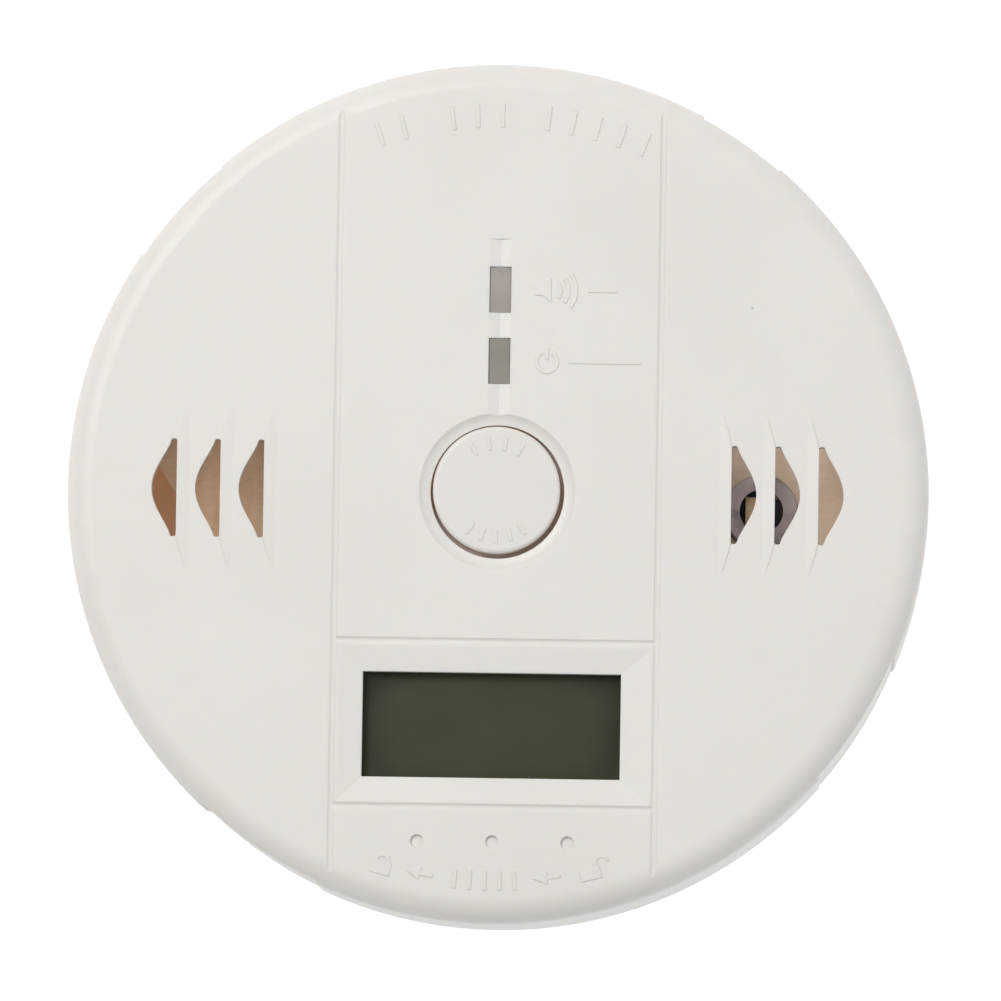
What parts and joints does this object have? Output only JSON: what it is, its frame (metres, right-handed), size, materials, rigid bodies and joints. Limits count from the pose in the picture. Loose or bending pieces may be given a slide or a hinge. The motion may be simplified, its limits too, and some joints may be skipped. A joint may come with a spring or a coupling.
{
  "type": "carbon monoxide detector",
  "caption": "Round wall-mounted carbon monoxide detector with display, test button, louvres and a twist-off wall plate, run by AA cells.",
  "frame": {"origin": "centre of the wall plate's back face, on the test button's axis", "axes": "+Z out of the front face, +Y up the wall, +X to the right when facing the front"},
  "size_m": [0.1, 0.1, 0.0383],
  "materials": {
    "cover_plastic": "fine-textured warm white",
    "case_plastic": "fine-textured warm white",
    "plate_plastic": "fine-textured warm white",
    "button_plastic": "satin warm white",
    "steel_screw": "zinc-plated",
    "switch_black": "black moulding",
    "tinned": "tin-plated",
    "paper_board": "tan phenolic paper board",
    "led_body": "smoky diffusing resin",
    "led_body_green": "smoky diffusing resin",
    "lcd_film": "dark olive polarising film",
    "lcd_glass": "clear panes",
    "lcd_reflector": "silvery film",
    "lcd_light": "clear light guide",
    "lcd_frame": "white moulding",
    "sensor_metal": "nickel-plated can, dulled",
    "sensor_base": "dark moulding",
    "sensor_chip": "gold-coated plate",
    "gold_pin": "gold-plated",
    "sounder_black": "black moulding",
    "disc_brass": "rolled",
    "ceramic": "silvered ceramic",
    "chip_black": "moulded epoxy",
    "capacitor_sleeve": "shrink sleeve",
    "inductor_brown": "ferrite drum with enamelled winding",
    "crystal_metal": "drawn can",
    "resistor_black": "glazed",
    "cell_steel": "nickel-plated can",
    "cell_wrapper": "plain shrink wrapper",
    "contact_metal": "nickel-plated strip",
    "spring_metal": "nickel-plated wire",
    "wire_red": "vinyl insulation",
    "wire_black": "vinyl insulation"
  },
  "bodies": {
    "wall_plate": {"mounting_plate": "plate_plastic"},
    "detector": {"back_case": "case_plastic", "front_cover": "cover_plastic", "cover_screws": "steel_screw", "switch_body": "switch_black", "switch_lid": "tinned", "switch_legs": "tinned", "circuit_board": "paper_board", "board_screws": "steel_screw", "alarm_led": "led_body", "operate_led": "led_body_green", "led_leads": "tinned", "lcd_polariser": "lcd_film", "lcd_glass": "lcd_glass", "lcd_reflector": "lcd_reflector", "lcd_backlight": "lcd_light", "lcd_holder": "lcd_frame", "lcd_pins": "tinned", "sensor_can": "sensor_metal", "sensor_base": "sensor_base", "sensor_element": "sensor_chip", "sensor_leads": "gold_pin", "sounder_case": "sounder_black", "sounder_base": "sounder_black", "piezo_disc": "disc_brass", "piezo_ceramic": "ceramic", "sounder_pins": "tinned", "microcontroller": "chip_black", "microcontroller_legs": "tinned", "capacitors": "capacitor_sleeve", "inductor": "inductor_brown", "transistor": "chip_black", "crystal": "crystal_metal", "resistors": "resistor_black", "component_leads": "tinned", "battery_1": "cell_steel", "battery_2": "cell_steel", "battery_3": "cell_steel", "battery_wrappers": "cell_wrapper", "contact_plus": "contact_metal", "contact_minus": "contact_metal", "contact_links": "contact_metal", "contact_springs": "spring_metal", "wire_plus": "wire_red", "wire_minus": "wire_black"},
    "button": {"test_button": "button_plastic"},
    "plunger": {"switch_plunger": "switch_black"}
  },
  "joints": [
    {"name": "unit_twist", "type": "hinge", "parent": "wall_plate", "child": "detector", "pos_m": [0, 0, 0], "axis": [0, 0, 1], "range_deg": [0, 18]},
    {"name": "button_press", "type": "slide", "parent": "detector", "child": "button", "axis": [0, 0, -1], "range_m": [0, 0.0003], "stiffness_N_per_m": 1500, "springref_m": -0.0006},
    {"name": "plunger_press", "type": "slide", "parent": "detector", "child": "plunger", "axis": [0, 0, -1], "range_m": [0, 0.0003]}
  ],
  "couplings": [
    {"joint": "plunger_press", "follows": "button_press", "ratio": 1}
  ]
}
